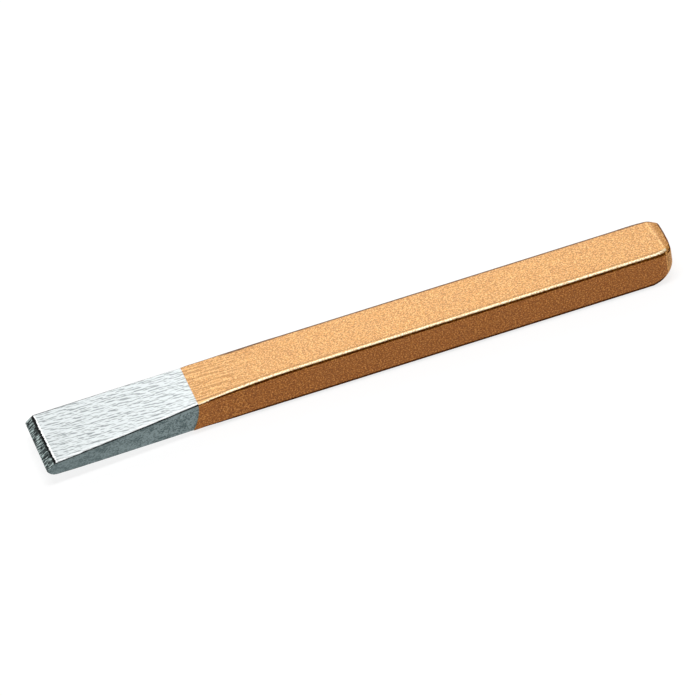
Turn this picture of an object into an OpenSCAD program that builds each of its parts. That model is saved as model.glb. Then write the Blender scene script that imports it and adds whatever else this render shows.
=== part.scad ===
// Flat chisel: one forged bar of tool steel, ground to a cutting edge at one end and crowned
// for the hammer at the other, in a coat of copper lacquer that stops at the bare blade.
// The cutting edge points along -X and the striking face along +X, with the broad faces level.
// The origin is under the middle of the chisel, on the surface that it lies on.

/* [Bar] */
// Length from the cutting edge to the crown of the striking face, over the lacquer
overall_length = 200; // [170:5:260]
// Width of the steel bar, from one narrow side to the other
bar_width = 17.7; // [15:0.1:21]
// Thickness of the steel bar, from one broad face to the other
bar_thickness = 11.3; // [10:0.1:14]
// Radius along the four long edges of the bar
edge_radius = 1.2; // [0.8:0.1:2.4]

/* [Blade] */
// Length of the ground blade, from the cutting edge to its heel
blade_length = 49; // [40:1:60]
// Width of the blade at the cutting edge
cutting_width = 25; // [22:0.2:28]
// Radius of the blade's corners at the two ends of the cutting edge
corner_radius = 0.8; // [0.2:0.1:2]
// Thickness of the blade at its heel, where the forged taper takes over
heel_thickness = 9; // [7:0.1:9.6]
// Thickness of the blade where its two cutting bevels start
tip_thickness = 4.4; // [3:0.1:5.5]
// Length of the cutting bevels, along the blade
bevel_length = 2.7; // [2:0.1:4]
// Thickness that is left at the cutting edge itself
edge_land = 0.2; // [0.1:0.05:0.5]
// Radius of the bend that leads the flared blade into the sides of the bar, where the taper ends
flare_radius = 480; // [200:20:560]

/* [Taper] */
// Length of the forged taper, from the heel of the blade to the full thickness of the bar
taper_length = 24; // [18:1:32]
// Radius of the bend that leads the taper into the broad faces of the bar
taper_radius = 80; // [40:5:150]

/* [Head] */
// Radius between the striking face and the narrow sides
side_rounding = 6.5; // [2:0.5:7]
// Radius between the striking face and the broad faces
face_rounding = 2.5; // [1:0.5:4]
// Height of the crown on the striking face, over the width of the bar
crown_height = 0.5; // [0.3:0.1:1.5]

/* [Lacquer] */
// Thickness of the lacquer
lacquer_thickness = 0.15; // [0.08:0.01:0.3]
// Distance by which the lacquer runs past the heel onto the top of the blade
lacquer_overlap = 0.4; // [0:0.2:3]
// Distance by which the line of the lacquer leans towards the edge, from top to underside
lacquer_lean = 2.7; // [0.5:0.1:5]

/* [Hidden] */

// Straight pieces in each drawn bend, and in a full circle
bend_steps = 8;
circle_steps = 180;
// Distance by which a cutting shape overruns what it cuts
overrun = 1;
// Distance past the end of the taper at which the round edges of the flared sides set in
flare_lead = 6;
// Distance that is left between the flare and the leaning sides of the block it is cut from
flare_margin = 0.3;

// The steel ends one coat of lacquer short of the overall length
steel_length = overall_length - lacquer_thickness;
half_thickness = bar_thickness / 2;
half_width = bar_width / 2;
// Where the taper and the flare end, and the even bar begins
taper_end = blade_length + taper_length;
// Radius of the ball whose surface crowns the striking face
crown_radius = (half_width ^ 2 + crown_height ^ 2) / (2 * crown_height);

// Slope of a straight run that climbs by rise over run and ends tangent to a level bend
function bend_angle(run, rise, radius) =
    asin(radius / norm([run, radius - rise])) - atan2(radius - rise, run);

// How far each side of the blade stands out from the side of the bar, and the slope of its flare
flare_rise = cutting_width / 2 - half_width;
flare_angle = bend_angle(taper_end, flare_rise, flare_radius);
// How far each side of the heel stands out, on the bend or on the straight run before it
heel_rise = taper_length < flare_radius * sin(flare_angle)
    ? flare_radius - sqrt(flare_radius ^ 2 - taper_length ^ 2)
    : flare_rise - blade_length * tan(flare_angle);
// Lean of the round edges that follow the flare along the taper
edge_lean = atan2(heel_rise + flare_margin, taper_length + flare_lead);
// How far each face of the heel lies below the face of the bar, and the slope of the taper
taper_rise = half_thickness - heel_thickness / 2;
taper_angle = bend_angle(taper_length, taper_rise, taper_radius);

// Points round a centre, from one angle to another
function arc(centre, radius, from, to) = [
    for (step = [0 : bend_steps])
        let (angle = from + (to - from) * step / bend_steps)
        centre + radius * [cos(angle), sin(angle)]
];

// The same points below the X axis, in the opposite order
function mirrored(points) = [
    for (i = [len(points) - 1 : -1 : 0]) [points[i].x, -points[i].y]
];

// Upper half of the side view, up to the head: bevel, blade, taper and bar.
// Every outline is drawn for the steel, and again with grow for the lacquer over it.
function side_points(grow) = concat(
    [
        [-grow, edge_land / 2 + grow],
        [bevel_length, tip_thickness / 2 + grow],
        [blade_length, heel_thickness / 2 + grow]
    ],
    arc([taper_end, half_thickness - taper_radius],
        taper_radius + grow, 90 + taper_angle, 90)
);

// Upper half of the plan view, up to the head: corner of the blade, flare and bar
function plan_points(grow) =
    let (corner_y = cutting_width / 2 - corner_radius / tan(45 - flare_angle / 2))
    concat(
        arc([corner_radius, corner_y], corner_radius + grow, 180, 90 - flare_angle),
        arc([taper_end, half_width + flare_radius],
            flare_radius - grow, 270 - flare_angle, 270)
    );

// Its children, and their mirror image across the given direction
module both_sides(direction) {
    children();
    mirror(direction)
        children();
}

// What a rounded corner leaves out of a square one, round the middle of the rounding
module corner_waste(radius) {
    difference() {
        square(radius + overrun);
        circle(r = radius, $fn = circle_steps);
    }
}

// A whole outline from its upper half, closed at the head by a flat end with two round corners
module outline(points, half_height, rounding, grow) {
    upper = concat(points, [[steel_length + grow, half_height + grow]]);
    difference() {
        polygon(concat(upper, mirrored(upper)));
        both_sides([0, 1])
            translate([steel_length - rounding, half_height - rounding])
                corner_waste(rounding + grow);
    }
}

// Cross-section of a bar of this width, with its four long edges rounded
module bar_section(width, grow) {
    difference() {
        square([width + 2 * grow, bar_thickness + 2 * grow], center = true);
        both_sides([1, 0])
            both_sides([0, 1])
                translate([width / 2 - edge_radius, half_thickness - edge_radius])
                    corner_waste(edge_radius + grow);
    }
}

// What the crown leaves out of a flat striking face: all that lies outside its ball
module crown_waste(grow) {
    margin = grow + overrun;
    translate([steel_length - crown_radius, 0, 0])
        difference() {
            translate([0, -half_width - margin, -half_thickness - margin])
                cube([crown_radius + margin, bar_width + 2 * margin, bar_thickness + 2 * margin]);
            sphere(r = crown_radius + grow, $fn = circle_steps);
        }
}

// One half of the bar along the taper, turned so that its side leans out towards the heel
module flared_side(grow) {
    reach = taper_length + flare_lead + grow + overrun;
    translate([taper_end + flare_lead, half_width - edge_radius, 0])
        rotate([0, 0, -edge_lean])
            translate([-reach, edge_radius - half_width / 2, 0])
                rotate([90, 0, 90])
                    linear_extrude(height = reach + taper_length / 2)
                        bar_section(half_width, grow);
}

// The bar that the chisel is made from: a square-edged block as far as the heel of the blade,
// then the section with the rounded long edges, leaning out along the taper and crowned at the head
module blank(grow) {
    margin = grow + overrun;
    difference() {
        union() {
            translate([-margin, -cutting_width, -bar_thickness])
                cube([blade_length + margin, 2 * cutting_width, 2 * bar_thickness]);
            translate([blade_length - margin, 0, 0])
                rotate([90, 0, 90])
                    linear_extrude(height = steel_length - blade_length + 2 * margin)
                        bar_section(bar_width, grow);
            both_sides([0, 1, 0])
                flared_side(grow);
        }
        crown_waste(grow);
    }
}

// The chisel's outer form, with its axis along X and its cutting edge at the origin
module chisel_form(grow) {
    margin = grow + overrun;
    intersection() {
        blank(grow);
        rotate([90, 0, 0])
            linear_extrude(height = cutting_width + 2 * margin, center = true)
                outline(side_points(grow), half_thickness, face_rounding, grow);
        linear_extrude(height = bar_thickness + 2 * margin, center = true)
            outline(plan_points(grow), half_width, side_rounding, grow);
    }
}

// What stays free of lacquer. In side view its border is an arc that stands upright at the
// top of the blade and leans towards the cutting edge at the underside.
module bare_zone() {
    half_heel = heel_thickness / 2 + lacquer_thickness;
    line_x = blade_length - lacquer_overlap;
    line_radius = ((2 * half_heel) ^ 2 + lacquer_lean ^ 2) / (2 * lacquer_lean);
    centre_x = line_x - line_radius;
    start_x = min(centre_x, 0) - 2 * overrun;
    rotate([90, 0, 0])
        linear_extrude(height = cutting_width + 4 * overrun, center = true) {
            translate([start_x, -bar_thickness])
                square([centre_x - start_x, 2 * bar_thickness]);
            translate([centre_x, half_heel])
                circle(r = line_radius, $fn = circle_steps);
            translate([start_x, half_heel])
                square([line_x - start_x, bar_thickness]);
        }
}

// Lays the chisel on its underside, with the middle of its length over the origin
module lay_down() {
    translate([-overall_length / 2, 0, half_thickness + lacquer_thickness])
        children();
}

module forged_bar() {
    color("lightslategray")
        lay_down()
            chisel_form(0);
}

module lacquer_coat() {
    color("sandybrown")
        lay_down()
            difference() {
                chisel_form(lacquer_thickness);
                chisel_form(0);
                bare_zone();
            }
}

forged_bar();
lacquer_coat();
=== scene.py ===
# %% [markdown]
# # A flat chisel
# A flat chisel is one forged bar of tool steel. One end is ground to a broad blade, the other is
# crowned for the hammer, and the bar between them wears a coat of copper-coloured lacquer.
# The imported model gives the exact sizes. We load it as a fixed frame, and then dress it: every
# piece that we make lies where the model says, in metres.

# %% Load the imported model
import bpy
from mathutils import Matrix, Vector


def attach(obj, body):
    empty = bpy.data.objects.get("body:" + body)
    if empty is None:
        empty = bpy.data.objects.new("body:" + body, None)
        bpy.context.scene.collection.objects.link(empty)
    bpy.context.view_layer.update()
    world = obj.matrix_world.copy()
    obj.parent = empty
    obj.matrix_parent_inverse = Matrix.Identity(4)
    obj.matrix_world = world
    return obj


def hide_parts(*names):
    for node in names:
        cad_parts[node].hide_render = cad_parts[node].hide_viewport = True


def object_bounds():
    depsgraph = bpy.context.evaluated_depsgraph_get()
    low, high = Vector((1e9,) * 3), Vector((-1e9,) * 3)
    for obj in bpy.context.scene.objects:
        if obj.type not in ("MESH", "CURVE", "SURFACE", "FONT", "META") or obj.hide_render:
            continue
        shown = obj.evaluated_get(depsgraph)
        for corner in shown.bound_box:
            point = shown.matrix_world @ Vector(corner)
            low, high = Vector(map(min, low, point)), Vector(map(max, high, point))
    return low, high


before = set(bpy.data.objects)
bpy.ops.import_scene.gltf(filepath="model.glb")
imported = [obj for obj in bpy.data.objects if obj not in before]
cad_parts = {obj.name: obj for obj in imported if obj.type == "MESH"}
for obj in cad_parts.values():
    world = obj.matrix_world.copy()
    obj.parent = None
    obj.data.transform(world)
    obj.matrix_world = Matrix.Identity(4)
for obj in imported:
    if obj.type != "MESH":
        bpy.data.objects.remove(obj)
cad_low, cad_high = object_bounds()
print("packed nodes:", sorted(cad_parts))
print("model box in mm:", [round(1000 * side, 2) for side in cad_high - cad_low])

# %% Modules and units
import math
import random

import bmesh
import bpy
from mathutils import Matrix, Vector

MM = 0.001
END_X = cad_low.x
MID_Z = (cad_low.z + cad_high.z) / 2
print("cutting edge at x =", round(END_X / MM, 2), "mm, middle plane at z =", round(MID_Z / MM, 2), "mm")

# %% [markdown]
# ## The camera
# The photograph is taken with a long lens from the chisel's near side, a little towards the
# blade and well above it, and the camera is tilted so that the chisel rises to the right.
# We could turn a camera by three angles, but their order matters. It is plainer to work out its
# three directions: where its right hand points, where its head points, and what lies behind it.

# %% The camera
# Where the camera stands as seen from the chisel, and its tilt, in degrees. The lens is in mm
AZIMUTH, ELEVATION, ROLL = -11.587, 38.85, -10.12
FOCAL_LENGTH = 286.2
# How far the camera stands back from the middle of the chisel, and how far to the left of it and
# below it as the camera sees them, in mm
STAND_BACK, TO_LEFT, BELOW = 1651, 1.97, 0.573

azimuth, elevation, roll = (math.radians(turn) for turn in (AZIMUTH, ELEVATION, ROLL))
back = Vector((math.sin(azimuth) * math.cos(elevation), -math.cos(azimuth) * math.cos(elevation),
               math.sin(elevation)))
level = Vector((math.cos(azimuth), math.sin(azimuth), 0))
rise = back.cross(level)
right = math.cos(roll) * level + math.sin(roll) * rise
up = math.cos(roll) * rise - math.sin(roll) * level

bpy.ops.object.camera_add()
camera = bpy.context.object
camera.data.lens = FOCAL_LENGTH
camera.data.clip_start, camera.data.clip_end = 0.05, 30
eye = Vector((0, 0, MID_Z)) + STAND_BACK * MM * back - TO_LEFT * MM * right - BELOW * MM * up
camera.matrix_world = Matrix.Translation(eye) @ Matrix((right, up, back)).transposed().to_4x4()
bpy.context.scene.camera = camera
print("camera", round(eye.length, 3), "m away")

# %% [markdown]
# ## Helpers for edit mode
# We model as by hand, with operators. An operator acts on everything that is selected, so each
# step starts from nothing selected and picks what it needs by its place. These helpers hold the
# few moves that we use again and again.


# %% Helpers for edit mode
# Two points that are closer than this, in metres, count as being at the same place
TOUCH = 1e-6


def adopt(name):
    """The primitive that was just added: named, with its place and size moved into its mesh."""
    piece = bpy.context.object
    piece.name = piece.data.name = name
    bpy.ops.object.transform_apply(location=True, rotation=True, scale=True)
    return piece


def pick(piece, kind, wanted):
    """Selects exactly the vertices, edges or faces (VERT, EDGE, FACE) that pass the test."""
    bpy.ops.mesh.select_mode(type=kind)
    bpy.ops.mesh.select_all(action="DESELECT")
    mesh = bmesh.from_edit_mesh(piece.data)
    items = {"VERT": mesh.verts, "EDGE": mesh.edges, "FACE": mesh.faces}[kind]
    found = [item for item in items if wanted(item)]
    for item in found:
        item.select_set(True)
    mesh.select_flush_mode()
    bmesh.update_edit_mesh(piece.data)
    return len(found)


def cut(place, normal):
    """Cuts all that is selected along a plane, and leaves the two sides joined."""
    bpy.ops.mesh.bisect(plane_co=place, plane_no=normal, threshold=TOUCH / 10)


def finish_with(piece, kind, **settings):
    """Adds a modifier with these settings and applies it."""
    modifier = piece.modifiers.new(kind.title(), kind)
    for name, setting in settings.items():
        setattr(modifier, name, setting)
    bpy.context.view_layer.objects.active = piece
    bpy.ops.object.modifier_apply(modifier=modifier.name)


def only(piece):
    """Makes this the one selected object, in object mode."""
    if bpy.context.mode != "OBJECT":
        bpy.ops.object.mode_set(mode="OBJECT")
    bpy.ops.object.select_all(action="DESELECT")
    if piece:
        piece.select_set(True)
        bpy.context.view_layer.objects.active = piece


def report(piece):
    """Prints how many triangles a piece has, and the box that it fills, in mm."""
    corners = [Vector(corner) for corner in piece.bound_box]
    low = [min(c[i] for c in corners) / MM for i in range(3)]
    high = [max(c[i] for c in corners) / MM for i in range(3)]
    triangles = sum(len(face.vertices) - 2 for face in piece.data.polygons)
    print(piece.name, "triangles", triangles, "from", [round(v, 2) for v in low], "to",
          [round(v, 2) for v in high])


# %% [markdown]
# ## The form of the chisel
# A smith works to a few measures taken along the bar. We write them the same way, all of them in
# millimetres: half the width, half the thickness, and how round the four long edges are. The
# blade spreads towards its edge and thins like a wedge, the forged taper brings it up to the full
# bar, and the head is rounded off at its corners. Then comes what years of use and grinding do:
# the blade droops a little, its lower bevel bulges, and the head is worn askew.

# %% The measures of the bar
STEEL_LENGTH = 199.85
HALF_WIDTH, HALF_THICK = 8.85, 5.65
# The length of the cutting bevels, and of the whole ground blade
BEVEL, HEEL = 2.7, 49
# The radii along the long edges of the bar, at the ends of the cutting edge, and round the near
# corner of the head
EDGE_ROUND, CORNER_ROUND, NEAR_ROUND = 1.2, 0.4, 5.4
# The ball that crowns the striking face: its radius, its lean to one side, and its wear
CROWN_RADIUS, CROWN_TILT, CROWN_DROP = 86.4, 0.05, 0.11
COAT = 0.15
print("steel", STEEL_LENGTH, "mm long, blade", HEEL, "mm long")

# %% How the form changes along the bar
# Pairs of a distance from the cutting edge and a measure there. First half the width of the bar
FLARE = [(0, 12.46), (8, 12.09), (14, 11.76), (20, 11.44), (26, 11.08), (32, 10.69), (38, 10.28),
         (44, 9.87), (HEEL, 9.5), (54, 9.22), (60, 9.04), (66, 8.94), (73, 8.87), (80, HALF_WIDTH)]
# Half its thickness
WEDGE = [(0, 0.1), (BEVEL, 2.2), (14, 2.73), (26, 3.29), (38, 3.92), (44, 4.22), (HEEL, 4.45),
         (54, 4.72), (60, 5.05), (66, 5.35), (72, 5.55), (76, 5.62), (80, HALF_THICK)]
# The radius of its long edges
ROUND = [(0, 0.05), (3, 0.2), (48, 0.25), (51, 0.5), (57, 0.9), (66, EDGE_ROUND),
         (190, EDGE_ROUND), (198, 1.6)]
# How far the blade droops, and how far its lower bevel bulges
DROOP = [(0, 0.47), (15, 0.37), (31, 0.22), (46, 0.1), (61, 0.08), (76, 0)]
BELLY = [(0, 0), (0.4, 0.12), (1, 0.22), (1.8, 0.17), (BEVEL, -0.05), (8, 0)]
# How far the forged taper stands proud of the ground blade, on its far side and its underside
PROUD_FAR = [(HEEL, 0), (51, 0.25), (54, 0.34), (61, 0.42), (66, 0.3), (71, 0.19), (76, 0.1), (80, 0)]
PROUD_LOW = [(HEEL, 0), (51, 0.1), (54, 0.26), (59, 0.27), (64, 0.18), (69, 0.11), (74, 0)]
# What each side of the head has lost, by the distance from the striking face. A loss below 0 is
# steel that the hammer has spread
HEAD = {
    "far": [(0, 1.6), (0.4, 1.35), (1.2, 1.02), (1.8, 0.7), (2.5, 0.28), (3.2, 0), (4, -0.12),
            (6, -0.2), (9, -0.17), (14, 0)],
    "near": [(NEAR_ROUND - NEAR_ROUND * math.sin(math.radians(turn)),
              NEAR_ROUND - NEAR_ROUND * math.cos(math.radians(turn))) for turn in range(90, -1, -10)],
    "top": [(0, 0.75), (0.4, 0.42), (1.2, 0.2), (2.4, 0)],
    "bottom": [(0, 6.8), (0.2, 5.7), (0.4, 5.0), (0.8, 4.15), (1.2, 3.6), (1.8, 3.0), (2.5, 2.5),
               (3.2, 2.05), (4, 1.55), (5, 1.0), (6, 0.58), (7, 0.25), (8, 0)],
}


# %% Reading the measures
def blend_between(points, x):
    """The value at x on the straight runs between the points."""
    if x <= points[0][0]:
        return points[0][1]
    for (x0, y0), (x1, y1) in zip(points, points[1:]):
        if x <= x1:
            return y0 + (y1 - y0) * (x - x0) / (x1 - x0)
    return points[-1][1]


def corner_loss(x):
    """How much the round corners of the blade have taken off each side at x."""
    along = max(CORNER_ROUND - x, 0)
    return CORNER_ROUND - math.sqrt(CORNER_ROUND ** 2 - along ** 2)


def head_loss(x, side, grow):
    """How much one side of the head has lost at x."""
    return blend_between(HEAD[side], STEEL_LENGTH + grow - x)


def half_width(x, grow=0):
    """Half the width of the bar at x, grown by a coat."""
    head = (head_loss(x, "far", grow) + head_loss(x, "near", grow)) / 2
    proud = blend_between(PROUD_FAR, x) / 2
    return blend_between(FLARE, x) + proud + grow - corner_loss(x) - head


def half_thick(x, grow=0):
    """Half the thickness of the bar at x, grown by a coat."""
    head = (head_loss(x, "top", grow) + head_loss(x, "bottom", grow)) / 2
    proud = blend_between(PROUD_LOW, x) / 2
    return blend_between(WEDGE, x) + blend_between(BELLY, x) + proud + grow - head


def shift(x, grow=0):
    """How far the middle of the bar has moved sideways and upwards at x."""
    droop = blend_between(DROOP, x)
    sideways = head_loss(x, "near", grow) - head_loss(x, "far", grow) + blend_between(PROUD_FAR, x)
    upwards = head_loss(x, "bottom", grow) - head_loss(x, "top", grow) - blend_between(PROUD_LOW, x)
    return sideways / 2, upwards / 2 - blend_between(BELLY, x) - droop


def edge_round(x, grow=0):
    """The radius of the long edges at x, grown by a coat."""
    return grow + blend_between(ROUND, x)


print("blade", round(2 * half_width(1), 1), "wide at the edge, bar",
      round(2 * half_width(100), 1), "x", round(2 * half_thick(100), 1))

# %% [markdown]
# ## Forging a bar from a block
# Both the steel and its lacquer have the same form, the lacquer just a little larger. It could
# be a curve with a swept profile, but the section changes all the way along. So we start from a
# plain block, round its four long edges with a bevel, and cut it across at a list of stations.
# They are close together where the form bends. Then each station is worked on its own: its
# rounded corners are scaled about the sharp corner that they stand for, which keeps them touching
# both faces, and the whole station is squeezed to its width and thickness.


# %% Stations along the bar
def steps(start, end, size):
    """Evenly spaced stations from start up to, but not including, end."""
    count = max(1, round((end - start) / size))
    return [start + (end - start) * i / count for i in range(count)]


def head_stations(grow):
    """Stations of the head, closer together towards the striking face."""
    return [STEEL_LENGTH + grow - distance
            for distance in (8, 7, 6, 5, 4, 3.2, 2.5, 1.8, 1.2, 0.8, 0.4, 0.2, 0)]


print("stations of the head:", [round(x, 2) for x in head_stations(0)])


# %% Rounding and cutting a block
def rounded_block(name, start, end, columns, layers):
    """A block between two stations, with round long edges and evenly cut flats."""
    only(None)
    bpy.ops.mesh.primitive_cube_add(
        size=1, location=(END_X + (start + end) / 2 * MM, 0, MID_Z),
        scale=((end - start) * MM, 2 * HALF_WIDTH * MM, 2 * HALF_THICK * MM))
    piece = adopt(name)
    bpy.ops.object.mode_set(mode="EDIT")
    pick(piece, "EDGE", lambda edge: abs(edge.verts[0].co.x - edge.verts[1].co.x) > MM)
    bpy.ops.mesh.bevel(offset=EDGE_ROUND * MM, segments=6, affect="EDGES")
    for side in range(1, columns):
        bpy.ops.mesh.select_all(action="SELECT")
        cut((0, (2 * side / columns - 1) * (HALF_WIDTH - EDGE_ROUND) * MM, 0), (0, 1, 0))
    for side in range(1, layers):
        bpy.ops.mesh.select_all(action="SELECT")
        cut((0, 0, MID_Z + (2 * side / layers - 1) * (HALF_THICK - EDGE_ROUND) * MM), (0, 0, 1))
    return piece


# %% Shaping one station
# The roundest that a corner may get, so that a flat is left between two of them
ROUNDEST = 0.8 * HALF_THICK


def shape_station(piece, x, grow):
    """Gives one station its round corners, its width, its thickness and its place."""
    place = END_X + x * MM
    flat_y, flat_z = (HALF_WIDTH - EDGE_ROUND) * MM, (HALF_THICK - EDGE_ROUND) * MM
    width, thick = half_width(x, grow) / HALF_WIDTH, half_thick(x, grow) / HALF_THICK
    corner = min(edge_round(x, grow) / min(width, thick), ROUNDEST)

    def here(vert, side_y=None, side_z=None):
        """Whether a vertex is at this station, and in one of its corners if that is asked."""
        y, z = vert.co.y, vert.co.z - MID_Z
        if abs(vert.co.x - place) > TOUCH:
            return False
        if side_y is not None:
            return y * side_y > flat_y - TOUCH and z * side_z > flat_z - TOUCH
        return True

    def between(vert, along_y):
        """Whether a vertex is at this station and on a flat, between two corners."""
        y, z = abs(vert.co.y), abs(vert.co.z - MID_Z)
        return here(vert) and (y < flat_y - TOUCH if along_y else z < flat_z - TOUCH)

    if abs(corner - EDGE_ROUND) > 1e-4:
        inner_y = (HALF_WIDTH - corner) / (HALF_WIDTH - EDGE_ROUND)
        inner_z = (HALF_THICK - corner) / (HALF_THICK - EDGE_ROUND)
        pick(piece, "VERT", lambda vert: between(vert, True) and abs(vert.co.z - MID_Z) > flat_z)
        bpy.ops.transform.resize(value=(1, inner_y, 1), center_override=(place, 0, MID_Z))
        pick(piece, "VERT", lambda vert: between(vert, False) and abs(vert.co.y) > flat_y)
        bpy.ops.transform.resize(value=(1, 1, inner_z), center_override=(place, 0, MID_Z))
        for side_y, side_z in ((-1, -1), (-1, 1), (1, -1), (1, 1)):
            pick(piece, "VERT", lambda vert: here(vert, side_y, side_z))
            bpy.ops.transform.resize(
                value=(1, corner / EDGE_ROUND, corner / EDGE_ROUND),
                center_override=(place, side_y * HALF_WIDTH * MM, MID_Z + side_z * HALF_THICK * MM))
    pick(piece, "VERT", here)
    bpy.ops.transform.resize(value=(1, width, thick), center_override=(place, 0, MID_Z))
    shift_y, shift_z = shift(x, grow)
    bpy.ops.transform.translate(value=(0, shift_y * MM, shift_z * MM))


# %% Crowning the head, and the whole forging
def crown(piece, grow):
    """Moves whatever stands outside the large ball of the striking face back onto it."""
    # Vertices that stand out equally far are moved together
    groups = {}
    for vert in bmesh.from_edit_mesh(piece.data).verts:
        from_axis = math.hypot(vert.co.y, vert.co.z - MID_Z) / MM
        limit = STEEL_LENGTH + grow - from_axis ** 2 / (2 * (CROWN_RADIUS + grow))
        limit += CROWN_TILT * vert.co.y / MM - CROWN_DROP
        over = vert.co.x - (END_X + limit * MM)
        if over > 0:
            groups.setdefault(round(over, 7), []).append(vert.index)
    for over, numbers in groups.items():
        pick(piece, "VERT", lambda vert: vert.index in numbers)
        bpy.ops.transform.translate(value=(-over, 0, 0))
    print(piece.name, "crowned in", len(groups), "moves")


def forge(name, stations, grow, columns, layers):
    """A bar through the stations, grown on all sides."""
    piece = rounded_block(name, stations[0], stations[-1], columns, layers)
    for x in stations[1:-1]:
        bpy.ops.mesh.select_all(action="SELECT")
        cut((END_X + x * MM, 0, 0), (1, 0, 0))
    for x in stations:
        shape_station(piece, x, grow)
    crown(piece, grow)
    bpy.ops.object.mode_set(mode="OBJECT")
    return piece


# %% [markdown]
# ## The steel
# The steel runs the whole length, but only the blade is seen. Its stations are close together
# at the cutting edge and at the head, where the corners are rounded, and wide apart along the
# even bar, which the lacquer hides.

# %% The steel
blade_stations = ([0, 0.1, 0.4, 1, 1.8, BEVEL] + steps(BEVEL, 44, 3)[1:] + steps(44, HEEL, 1)
                  + steps(HEEL, 74, 2) + steps(74, 191, 12) + head_stations(0))
steel = forge("steel_bar", blade_stations, 0, 8, 4)
report(steel)

# %% [markdown]
# The grinding wheel leaves coarse marks across the cutting bevels, and a ragged border where
# they meet the broad faces. A texture could paint them, but the border is a shape: we cut the
# bevels into uneven strips, and then push each strip's corners a little in or out. The border
# also runs a little askew across the blade.

# %% The marks of the wheel
# Where the first strip starts and the last one ends, and the narrowest and widest strip
FIRST_STRIP, LAST_STRIP = -12.3, 12.4
NARROWEST, WIDEST = 0.3, 0.75
# Corners further out than this stay where they are
OUTER_MARK = 12.2
# How far the border has moved towards the head, and how much less for each mm to the far side
BORDER_SHIFT, BORDER_ASKEW = 0.27, 0.022
chance = random.Random(11)


def on_bevel(face):
    """Whether a face is on one of the two cutting bevels."""
    return face.normal.x < -0.3 and abs(face.normal.z) > 0.5


bpy.ops.object.mode_set(mode="EDIT")
strip_y = FIRST_STRIP
while strip_y < LAST_STRIP:
    pick(steel, "FACE", on_bevel)
    cut((END_X, strip_y * MM, 0), (chance.uniform(-0.2, 0.2), 1, 0))
    strip_y += chance.uniform(NARROWEST, WIDEST)
marks = [(vert.index, vert.co.x, vert.co.y / MM) for vert in bmesh.from_edit_mesh(steel.data).verts
         if 0.6 * MM < vert.co.x - END_X < (BEVEL + 0.01) * MM and abs(vert.co.y) < OUTER_MARK * MM]
for number, x, y in marks:
    slant = BORDER_SHIFT - BORDER_ASKEW * y
    pick(steel, "VERT", lambda vert: vert.index == number)
    if x > END_X + (BEVEL - 0.1) * MM:
        bpy.ops.transform.translate(value=(slant * MM + chance.uniform(-0.2, 0.15) * MM, 0, 0))
    else:
        bpy.ops.transform.translate(value=(chance.uniform(0, 0.05) * MM, 0, 0))
bpy.ops.object.mode_set(mode="OBJECT")
print("corners of the strips:", len(marks))

# %% [markdown]
# ## The lacquer
# The lacquer is sprayed over everything but the blade, so it is a thin skin with its own edge.
# It could be a copy of the steel's faces pushed outwards, but its border doesn't follow those
# faces. So we forge the same form a little larger, cut away the end that stays bare, open the cut,
# and give the skin its wall with a Solidify modifier that grows inwards.

# %% The outer face of the lacquer
skin_stations = steps(43, HEEL, 1) + steps(HEEL, 74, 1) + steps(74, 191, 2) + head_stations(COAT)
lacquer = forge("lacquer_skin", skin_stations, COAT, 10, 6)
report(lacquer)

# %% [markdown]
# The line of the lacquer runs straight across the top of the blade, and in side view it bends
# back towards the cutting edge as it goes down, like part of a circle. We model what stays bare
# as a block with such an end, so that one Boolean can take it away from the skin.

# %% The part that stays bare
# Where the line crosses the top of the blade, how far over the middle plane its bend starts, how
# deep the bend reaches, and its radius
LINE_X, LINE_TOP, LINE_DEPTH, LINE_RADIUS = 48.6, 4.6, 9, 15.4
# Where the block starts, its width and height, and its foot, below the middle plane
MASK_START, MASK_WIDTH, MASK_HEIGHT, MASK_FOOT = 30, 30, 14, -7


def line_lean(z):
    """How far the line of the lacquer has bent back at this height over the middle of the bar."""
    depth = min(max(LINE_TOP - z, 0), LINE_DEPTH)
    return LINE_RADIUS - math.sqrt(LINE_RADIUS ** 2 - depth ** 2)


only(None)
bpy.ops.mesh.primitive_cube_add(
    size=1, location=(END_X + (LINE_X + MASK_START) / 2 * MM, 0, MID_Z),
    scale=((LINE_X - MASK_START) * MM, MASK_WIDTH * MM, MASK_HEIGHT * MM))
masked = adopt("masked_end")
bpy.ops.object.mode_set(mode="EDIT")
heights = [LINE_TOP - depth for depth in range(LINE_DEPTH + 1)]
for z in heights:
    bpy.ops.mesh.select_all(action="SELECT")
    cut((0, 0, MID_Z + z * MM), (0, 0, 1))
for z in heights + [MASK_FOOT]:
    pick(masked, "VERT", lambda vert: vert.co.x > END_X + (LINE_X - 1) * MM
         and abs(vert.co.z - MID_Z - z * MM) < TOUCH)
    bpy.ops.transform.translate(value=(-line_lean(z) * MM, 0, 0))
bpy.ops.object.mode_set(mode="OBJECT")
report(masked)

# %% The wall of the lacquer
# A hair thinner than the coat, so that the skin doesn't touch the steel under it
WALL = 0.14
only(lacquer)
finish_with(lacquer, "BOOLEAN", operation="DIFFERENCE", object=masked, solver="EXACT")
bpy.data.objects.remove(masked)
bpy.ops.object.mode_set(mode="EDIT")
print("faces of the cut:", pick(lacquer, "FACE", lambda face: face.normal.x < -0.5))
bpy.ops.mesh.delete(type="FACE")
bpy.ops.object.mode_set(mode="OBJECT")
finish_with(lacquer, "SOLIDIFY", thickness=WALL * MM, offset=-1, use_even_offset=True)
report(lacquer)

# %% [markdown]
# The round edges are made of flat strips. Smooth shading hides the steps between them, and an
# angle keeps the real edges sharp. Weighted normals then let the large faces rule, so that the
# flats stay flat right up to the round edges.

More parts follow.
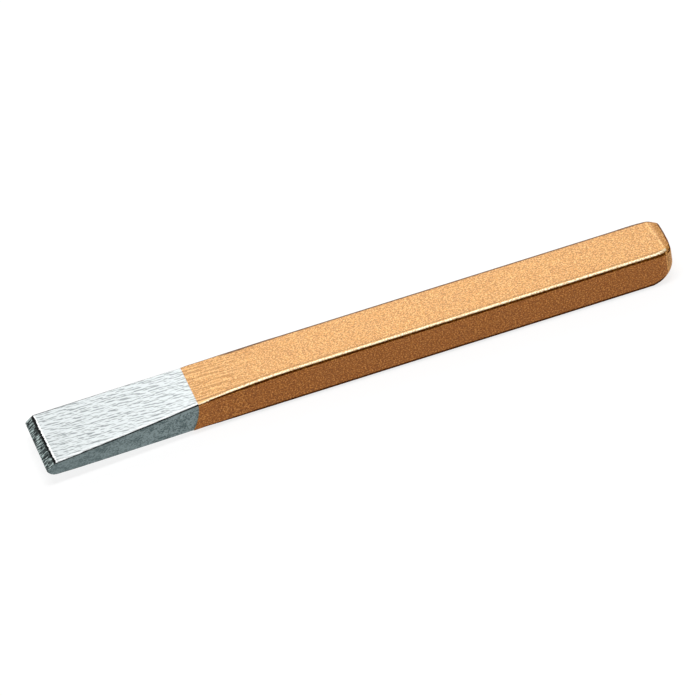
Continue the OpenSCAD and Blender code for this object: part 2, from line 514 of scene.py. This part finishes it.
# %% Smooth shading
SHARP_ABOVE = 22
for piece in (steel, lacquer):
    only(piece)
    bpy.ops.object.shade_smooth_by_angle(angle=math.radians(SHARP_ABOVE))
    finish_with(piece, "WEIGHTED_NORMAL", mode="FACE_AREA", keep_sharp=True)
    print(piece.name, "is smooth where it bends by less than", SHARP_ABOVE, "degrees")

# %% [markdown]
# ## Writing materials as sums
# A material is a graph of nodes. Written as sums on values, it reads like a recipe: one small
# class stands for a socket, and each operator on it adds the Math node that does the sum. Every
# other node comes from one method, which takes its type, its settings and its values.


# %% A value on a surface
class Field:
    """A value, a colour or a shader that may change over a surface."""

    def __init__(self, recipe, socket):
        self.recipe, self.socket = recipe, socket

    def math(self, operation, *values):
        return self.recipe.node("Math", {"operation": operation}, dict(enumerate(values)))

    def __add__(self, other):
        return self.math("ADD", self, other)

    __radd__ = __add__

    def __sub__(self, other):
        return self.math("SUBTRACT", self, other)

    def __rsub__(self, other):
        return self.math("SUBTRACT", other, self)

    def __mul__(self, other):
        return self.math("MULTIPLY", self, other)

    __rmul__ = __mul__


# %% A material
class Recipe:
    """A material, and the one way to add nodes to it."""

    def __init__(self, name):
        self.material = bpy.data.materials.new(name)
        self.material.use_nodes = True
        self.tree = self.material.node_tree

    def node(self, kind, settings, values, output=None):
        """Adds a node: its settings are set first, and then its sockets get values or links."""
        node = self.tree.nodes.new("ShaderNode" + kind)
        for name, value in settings.items():
            setattr(node, name, value)
        # A Mix node also has sockets for numbers and vectors, which its settings switch off
        open_inputs = [socket for socket in node.inputs if socket.enabled]
        for key, value in values.items():
            socket = open_inputs[key] if isinstance(key, int) else next(
                socket for socket in open_inputs if socket.name == key)
            if isinstance(value, Field):
                self.tree.links.new(value.socket, socket)
            else:
                socket.default_value = value
        outputs = [socket for socket in node.outputs if socket.enabled
                   and output in (None, socket.name)]
        return Field(self, outputs[0])

    def blend(self, share, first, second):
        """A colour between two colours."""
        return self.node("Mix", {"data_type": "RGBA"}, {"Factor": share, "A": first, "B": second})


# %% A finish, with its Principled shader
class Finish(Recipe):
    """A material with one Principled shader, and the patterns that can feed it."""

    def __init__(self, name, **constants):
        super().__init__(name)
        self.shader = self.tree.nodes["Principled BSDF"]
        for name, value in constants.items():
            self.shader.inputs[name.replace("_", " ")].default_value = value
        self.place = self.node("TexCoord", {}, {}, "Object")
        self.x, self.y, self.z = (self.node("SeparateXYZ", {}, {"Vector": self.place}, axis) * (1 / MM)
                                  for axis in "XYZ")

    def grain(self, size, turn=0, detail=2.0, roughness=0.5, shift=0.0):
        """Noise from 0 to 1 whose blots have this size in mm along x, y and z, turned in plan."""
        spot = self.node("Mapping", {"vector_type": "TEXTURE"}, {
            "Vector": self.place, "Location": (shift, shift, shift),
            "Rotation": (0, 0, math.radians(turn)), "Scale": [side * MM for side in size]})
        return self.node("TexNoise", {}, {"Vector": spot, "Scale": 1.0, "Detail": detail,
                                          "Roughness": roughness})

    def scratches(self, length, width, turn, shift=0.0):
        """Long scratches of one width: noise less the same noise one scratch to the side."""
        size = (length, width, length)
        return (self.grain(size, turn=turn, detail=1, shift=shift)
                - self.grain(size, turn=turn, detail=1, shift=shift + width * MM))

    def ramp(self, value, low, high):
        """0 on the side of low, 1 on the side of high, and smooth between."""
        return self.node("MapRange", {"interpolation_type": "SMOOTHSTEP"},
                         {"Value": value, "From Min": low, "From Max": high})

    def bump(self, height, depth):
        """A normal from a height between 0 and 1, as deep as depth in mm."""
        return self.node("Bump", {}, {"Height": height, "Distance": depth * MM})

    def paint(self, **fields):
        """Joins fields to the sockets of the shader, and returns the finished material."""
        for name, field in fields.items():
            self.tree.links.new(field.socket, self.shader.inputs[name.replace("_", " ")])
        print(self.material.name, "has", len(self.tree.nodes), "nodes")
        return self.material


# %% Colours
def colour(red, green, blue):
    return (red, green, blue, 1)


def shade(whole, red, green, blue):
    """A colour that keeps only these shares of its red, green and blue."""
    return [part * share for part, share in zip(whole, (red, green, blue, 1))]


# %% [markdown]
# ## Copper lacquer
# The coat is a lacquer full of fine copper flakes. Seen close, the flakes make a speckle of
# lighter and darker grains. A picture could be wrapped round the bar, but noise on the object's
# own coordinates runs over every edge without a seam. One function makes all the finishes of the
# coat, because they differ mostly in their three shades and in their gloss.


# %% Copper lacquer
def lacquer_finish(name, dark, light, fleck, coat=0, metal=0.3, gloss=0.25, haze=0.14, relief=0.04,
                   broad_face=False):
    """Copper lacquer in three shades, with its share of metal, under this much clear coat."""
    copper = Finish(name, Metallic=metal, IOR=1.5, Specular_IOR_Level=gloss, Coat_Roughness=haze,
                    Coat_IOR=1.6)
    speckle = copper.grain((0.6, 0.5, 0.5), detail=2, roughness=0.6)
    flake = copper.grain((0.5, 0.42, 0.42), detail=1, shift=0.5)
    cloud = copper.grain((7, 5, 5), detail=3)
    tone = copper.blend(copper.ramp(speckle, 0.4, 0.58), dark, light)
    tone = copper.blend(copper.ramp(cloud, 0.4, 0.75) * 0.12, tone, dark)
    tone = copper.blend(copper.ramp(flake, 0.54, 0.64) * 0.9, tone, fleck)
    if broad_face:
        tone = show_grinding(copper, tone, dark, fleck)
        tone = paint_edge_light_and_shade(copper, tone, dark, fleck)
        tone = paint_head_light_and_shade(copper, tone, dark, fleck, flake)
    fields = {"Base_Color": tone, "Roughness": 0.4 + 0.16 * speckle,
              "Normal": copper.bump(speckle * 0.5 + cloud, relief)}
    if coat:
        fields["Coat_Weight"] = coat * (0.7 + 0.6 * cloud)
    return copper.paint(**fields)


# %% [markdown]
# The broad faces show more than speckle. Behind the line of the lacquer, the grinding marks of
# the steel come through as streaks. Along the near edge a painted highlight lightens the face, with
# a faint painted shade beside it; along the far edge, past the taper, painted shade makes a dark
# line. All of these follow the form, so each is a ramp on a distance along or across the bar, in mm.


# %% What the broad faces show along the bar
def show_grinding(copper, tone, dark, fleck):
    """The grinding marks of the steel, which come through near the line of the lacquer."""
    near_line = 1 - copper.ramp(copper.x, -48, -22)
    streak = copper.scratches(length=8, width=0.6, turn=-5)
    tone = copper.blend(near_line * copper.ramp(streak, 0.02, 0.15) * 0.6, tone, dark)
    return copper.blend(near_line * copper.ramp(streak, -0.02, -0.15) * 0.45, tone, fleck)


def paint_edge_light_and_shade(copper, tone, dark, fleck):
    """A painted highlight along the near edge, and a painted dark line along the far edge, past the taper.
    """
    # The bar flares towards the blade, and its edges move apart with it
    flare = 0.65 * (1 - copper.ramp(copper.x, -51, -27))
    near, far = -1 * copper.y - flare, copper.y - flare
    # Painted highlight: the broad face lightens towards the near edge
    tone = copper.blend(0.7 * copper.ramp(near, 7.7, 7.95), tone, fleck)
    # A faint painted shade a little inside the near edge
    painted_dip = 0.35 * copper.ramp(near, 7.0, 7.3) * (1 - copper.ramp(near, 7.6, 7.75))
    # Painted shade: a dark line along the far edge, past the taper
    past_taper = copper.ramp(copper.x, -42, -36)
    return copper.blend(painted_dip + 0.95 * past_taper * copper.ramp(far, 7.4, 7.8), tone,
                        shade(dark, 0.3, 0.3, 0.3))


# %% [markdown]
# A fine painted highlight runs in bright specks along the crease where the top turns down to the
# head, painted shade darkens the strip beyond it, and painted shade makes a dark brink where the
# lacquer turns over the edge of the striking face. The crease leans one way. The brink follows the
# crown, so its distance bends with the square of y.


# %% What the broad faces show at the head
# How far the crease leans for each mm across, and how the crown bends the brink back
CREASE_LEAN, CROWN_BEND = 0.05, 0.0058


def paint_head_light_and_shade(copper, tone, dark, fleck, flake):
    """A painted highlight along a crease across the head, painted shade on the strip beyond it, and a dark
    brink of painted shade.
    """
    along = copper.x + CREASE_LEAN * copper.y
    crease = copper.ramp(along, 96.3, 96.7) * (1 - copper.ramp(along, 96.9, 97.3))
    # Painted highlight in bright specks along the crease
    tone = copper.blend(0.85 * crease * copper.ramp(flake, 0.42, 0.56), tone, fleck)
    # Painted shade on the strip beyond the crease
    tone = copper.blend(0.25 * copper.ramp(along, 96.9, 97.4), tone, shade(dark, 0.7, 0.55, 0.5))
    brink = copper.x - CROWN_TILT * copper.y + CROWN_BEND * copper.y * copper.y
    # Painted shade: a dark brink at the edge of the striking face
    return copper.blend(0.9 * copper.ramp(brink, 99.1, 99.35), tone, shade(dark, 0.35, 0.2, 0.15))


# %% [markdown]
# The narrow sides are a darker copy of the coat, a deeper red-brown that is painted shade. The
# round near edge is glossy, and its pale colour is a painted highlight. Just below it, along the far
# edge, along the lower edges and at the rim of the striking face, painted shade makes the lacquer
# nearly black. The struck end is a darker copy of the coat in tones between the two, also painted shade.

# %% The finishes of the coat
broad = lacquer_finish("copper_lacquer", colour(0.465, 0.198, 0.044), colour(0.735, 0.362, 0.10),
                       colour(1, 0.62, 0.25), coat=0.2, broad_face=True)
# Painted shade: the narrow sides are a darker copy of the coat
narrow = lacquer_finish("copper_side_shaded", colour(0.255, 0.074, 0.005), colour(0.455, 0.149, 0.018),
                        colour(0.70, 0.29, 0.06), coat=0.1)
# Painted highlight: a pale colour on the glossy upper round of the near edge
glossy_highlight = lacquer_finish("copper_glossy_highlight", colour(0.60, 0.36, 0.16), colour(0.94, 0.78, 0.48),
                      colour(1, 0.9, 0.65), coat=1.0, metal=0.5, haze=0.22, relief=0.12)
# Painted shade: nearly black lacquer on the rounds of the edges and the rim of the head
edge_shade = lacquer_finish("copper_edge_shade", colour(0.05, 0.011, 0.001), colour(0.12, 0.032, 0.003),
                          colour(0.2, 0.08, 0.01), metal=0, gloss=0)
# Painted shade: the striking end is a darker copy of the coat
end_shaded = lacquer_finish("copper_end_shaded", colour(0.34, 0.13, 0.018), colour(0.66, 0.30, 0.065),
                        colour(0.9, 0.5, 0.16), coat=0.05)

# %% [markdown]
# ## Ground steel
# The broad faces of the blade are ground bright, with two sets of fine scratches that run a
# little askew. A painted highlight lightens the rim beside the cutting bevel and the one beside the near
# edge.

# %% The broad faces of the blade
SCRATCH_TURN = -7.3
ground = Finish("ground_steel", Metallic=0.9, IOR=1.5)
scratch = ground.scratches(length=3.4, width=0.56, turn=SCRATCH_TURN)
fine = ground.scratches(length=2, width=0.4, turn=SCRATCH_TURN, shift=0.7)
haze = ground.grain((6, 4, 4), detail=2, shift=0.4)
clean = ground.ramp(scratch + fine, -0.24, 0.02)
tone = ground.blend(clean, colour(0.28, 0.305, 0.31), colour(0.635, 0.67, 0.675))
tone = ground.blend(ground.ramp(haze, 0.45, 0.7) * 0.15, tone, colour(0.62, 0.66, 0.67))
# Painted highlights: the rim beside the cutting bevel and the rim beside the near edge turn nearly white
bevel_rim_highlight = 1 - ground.ramp(ground.x + BORDER_ASKEW * ground.y, -96.8, -96.45)
# The near edge is a straight line: how far out it lies at x = 0, and how far it spreads for each mm
NEAR_EDGE, NEAR_SPREAD = 6.42, 0.0604
from_near = NEAR_EDGE - NEAR_SPREAD * ground.x + ground.y
near_rim_highlight = ground.ramp(from_near, 1.15, 0.75)
tone = ground.blend(bevel_rim_highlight + 0.35 * near_rim_highlight, tone, colour(0.95, 0.97, 0.97))
ground_steel = ground.paint(Base_Color=tone, Roughness=0.47 + 0.15 * fine,
                            Normal=ground.bump(scratch, 0.03))

# %% [markdown]
# The narrow sides keep a duller skin, more mottled towards the heel; their darker tone is partly
# that skin and partly painted shade. A painted shade makes a dark line under their upper edge,
# and the edge itself is painted darker still.

# %% The narrow sides of the blade
dull = Finish("dull_and_shaded_steel", Metallic=0.8, IOR=1.5)
mottle = dull.grain((0.6, 0.6, 0.5), detail=3, roughness=0.65)
patch = dull.grain((4, 2, 2), detail=2, shift=0.2)
towards_heel = dull.ramp(dull.x, -95, -60)
specks = dull.ramp(mottle * 0.7 + patch * 0.3, 0.4, 0.58) * (0.6 + 0.4 * towards_heel)
# The darker tone of the narrow sides is partly their duller skin and partly painted shade
tone = dull.blend(specks + 0.15 * (1 - towards_heel), colour(0.09, 0.127, 0.13),
                  colour(0.262, 0.328, 0.332))
# The distance below the upper edge, which climbs along the wedge
depth = 7.6 + 0.055 * (dull.x + 97) - dull.z
# Painted shade: a dark line just under the upper edge
tone = dull.blend(1 - dull.ramp(depth, 0.25, 0.6), tone, colour(0.02, 0.026, 0.027))
dull_and_shaded_steel = dull.paint(Base_Color=tone, Roughness=0.45 + 0.15 * mottle,
                        Normal=dull.bump(mottle, 0.05))

# %% The edges of the blade
# Painted shade: the edges of the blade are painted as a dark line that breaks up a little
arris = Finish("arris_shade", Metallic=0.6, IOR=1.5)
break_up = arris.grain((1.5, 1.5, 1.5), detail=3)
tone = arris.blend(arris.ramp(break_up, 0.4, 0.65), colour(0.012, 0.014, 0.015),
                   colour(0.12, 0.135, 0.135))
arris_shade = arris.paint(Base_Color=tone, Roughness=0.5 + 0.1 * break_up)

# %% [markdown]
# The cutting bevels show the coarse marks of the wheel, almost straight across the edge. Their
# black furrows, grey ridges and the odd glint are painted reflections, and a painted shadow
# darkens their inner border.

# %% The cutting bevels
WHEEL_TURN = -9
coarse = Finish("wheel_marks_and_glints", Metallic=0.8, IOR=1.5)
mark = coarse.grain((3, 0.55, 3), turn=WHEEL_TURN, detail=1.5, roughness=0.6)
glint = coarse.grain((2, 0.5, 2), turn=WHEEL_TURN, detail=1, shift=0.5)
ragged = coarse.grain((0.5, 0.4, 0.5), detail=2, shift=0.4)
inner = coarse.ramp(coarse.x + BORDER_ASKEW * coarse.y + 0.6 * ragged, -97.6, -97.3)
# Painted reflections: the marks in black and grey
tone = coarse.blend(coarse.ramp(mark, 0.44, 0.5), colour(0.004, 0.006, 0.006),
                    colour(0.12, 0.158, 0.155))
# Painted glints on a few of the marks
tone = coarse.blend(coarse.ramp(glint, 0.54, 0.59), tone, colour(0.68, 0.82, 0.8))
# Painted shadow along the inner border
tone = coarse.blend(inner, tone, colour(0.004, 0.005, 0.005))
wheel_marks_and_glints = coarse.paint(Base_Color=tone, Roughness=0.35 + 0.2 * mark,
                           Normal=coarse.bump(mark, 0.1))

# %% [markdown]
# ## Which face has which finish
# The finishes meet at the edges of the form, so the direction of a face tells which one it
# wears. A painted mask could do this too, but a direction needs no drawing. The slope is 0
# degrees on the upper face and 90 on the sides. The far edge and the near edge differ, because
# only the near one carries the painted highlight.


# %% Choosing by direction
def steel_face(face):
    """The finish of one face of the steel."""
    # The cutting bevels, and the land between them
    if face.normal.x < -0.3 and face.center.x < END_X + 3 * MM:
        return wheel_marks_and_glints
    # The narrow sides
    if abs(face.normal.y) > 0.95:
        return dull_and_shaded_steel
    # The edge on the near side, and the wider one on the far side
    # Both edges wear the painted shade
    if face.normal.y < -0.25 or face.normal.y > 0.12:
        return arris_shade
    return ground_steel


# The slopes where the upper face, the painted highlight of the near edge and the narrow side end, and the
# underside starts
UPPER_END, HIGHLIGHT_END, SIDE_END, UNDER_START = 14, 46, 92, 177
# The slope where the near side starts, below its painted highlight and the painted dark line
SIDE_START = 75


def lacquer_face(face):
    """The finish of one face of the lacquer."""
    slope = math.degrees(math.atan2(abs(face.normal.y), face.normal.z))
    # The rim over the striking face, in painted shade
    if 0.6 < face.normal.x < 0.92 and face.normal.z > 0.3:
        return edge_shade
    # The striking face, and the round corners beside it, in a darker copy of the coat that is painted shade
    if face.normal.x > 0.35 or face.center.x > END_X + 198 * MM and 15 < slope < SIDE_START:
        return end_shaded
    # The narrow sides, in the darker copy of the coat that is painted shade
    if SIDE_START < slope < SIDE_END or face.normal.y > 0 and HIGHLIGHT_END < slope < SIDE_END:
        return narrow
    # The painted highlight on the upper round of the near edge
    if face.normal.y < 0 and UPPER_END < slope < HIGHLIGHT_END:
        return glossy_highlight
    # Painted shade on the other rounds of the edges
    if UPPER_END < slope < UNDER_START:
        return edge_shade
    return broad


# %% Dressing the pieces
for piece, finishes, choose in (
        (steel, [ground_steel, dull_and_shaded_steel, wheel_marks_and_glints, arris_shade], steel_face),
        (lacquer, [broad, narrow, glossy_highlight, edge_shade, end_shaded], lacquer_face)):
    piece.data.materials.clear()
    for finish in finishes:
        piece.data.materials.append(finish)
    for face in piece.data.polygons:
        face.material_index = finishes.index(choose(face))
    print(piece.name, {finish.name: sum(face.material_index == number for face in piece.data.polygons)
                       for number, finish in enumerate(finishes)})

# %% [markdown]
# ## Telling the frame
# Neither piece moves by itself, so both ride on the root. Each replaces the imported node of the
# same thing.

# %% Tell the frame what each piece is
for piece, node, slot in ((steel, "forged_bar", "bare_steel"), (lacquer, "lacquer_coat", "copper_lacquer")):
    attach(piece, "root")
    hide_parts(node)
    print(piece.name, "replaces", node)

# %% [markdown]
# ## The studio
# The photograph has a white ground. The floor is plain and pale; what the camera and the
# reflections see of it is lifted to white in its material, not by more light, so the chisel's
# shadow stays. A low white wall runs round the floor for views from the side.


# %% The studio
def studio_white(name, lift):
    """A pale matt surface that the camera and reflections see lifted towards white."""
    white = Recipe(name)
    white.tree.nodes.remove(white.tree.nodes["Principled BSDF"])
    camera_ray, glossy_ray, through_ray = (white.node("LightPath", {}, {}, kind) for kind in (
        "Is Camera Ray", "Is Glossy Ray", "Is Transmission Ray"))
    seen = white.node("Math", {"operation": "MAXIMUM"}, {0: camera_ray, 1: glossy_ray})
    seen = white.node("Math", {"operation": "MAXIMUM"}, {0: seen, 1: through_ray})
    matt = white.node("BsdfDiffuse", {}, {"Color": colour(0.25, 0.25, 0.25)})
    glow = white.node("Emission", {}, {"Strength": lift})
    lifted = white.node("AddShader", {}, {0: matt, 1: glow})
    plain = white.node("BsdfDiffuse", {}, {"Color": colour(0.8, 0.8, 0.8)})
    surface = white.node("MixShader", {}, {0: seen, 1: plain, 2: lifted})
    white.tree.links.new(surface.socket, white.tree.nodes["Material Output"].inputs["Surface"])
    print(name, "has", len(white.tree.nodes), "nodes")
    return white.material


# In metres. The floor lies a hair under the chisel, so that no two faces share one plane
STUDIO_RADIUS, WALL_HEIGHT = 3, 0.4
only(None)
bpy.ops.mesh.primitive_circle_add(vertices=96, radius=STUDIO_RADIUS, fill_type="NGON",
                                  location=(0, 0, -0.02 * MM))
floor = adopt("studio_floor")
floor.data.materials.append(studio_white("floor_white", 0.79))
only(None)
bpy.ops.mesh.primitive_cylinder_add(vertices=96, radius=STUDIO_RADIUS, depth=WALL_HEIGHT,
                                    end_fill_type="NOTHING", location=(0, 0, WALL_HEIGHT / 2))
wall = adopt("studio_wall")
wall.data.materials.append(studio_white("wall_white", 1.0))

# %% [markdown]
# The light is plain and soft: a long box overhead, which whitens the upper faces, and a second
# one behind the chisel, whose reflection the camera sees in them. A pale world fills the shadows.


# %% Lamps
def softbox(name, direction, distance, size, brightness):
    """A rectangular lamp that faces the chisel; a brightness of 1 looks white from there."""
    only(None)
    place = Vector(direction).normalized() * distance + Vector((0, 0, MID_Z))
    bpy.ops.object.light_add(type="AREA", location=place)
    lamp = bpy.context.object
    lamp.name = name
    lamp.data.shape = "RECTANGLE"
    lamp.data.size, lamp.data.size_y = size
    lamp.data.energy = brightness * math.pi * size[0] * size[1]
    lamp.rotation_mode = "QUATERNION"
    lamp.rotation_quaternion = (Vector((0, 0, MID_Z)) - place).to_track_quat("-Z", "Y")
    lamp.visible_camera = False
    print(name, round(lamp.data.energy, 2), "W")


softbox("overhead", direction=(0, -0.03, 1), distance=0.9, size=(0.9, 0.2), brightness=9.0)
softbox("behind", direction=(0.157, 0.763, 0.627), distance=0.9, size=(0.5, 0.45), brightness=3.0)

world = bpy.data.worlds.new("studio")
bpy.context.scene.world = world
world.use_nodes = True
background = world.node_tree.nodes["Background"]
background.inputs["Color"].default_value = colour(1, 1, 1)
background.inputs["Strength"].default_value = 0.35
bpy.context.scene.view_settings.view_transform = "Standard"
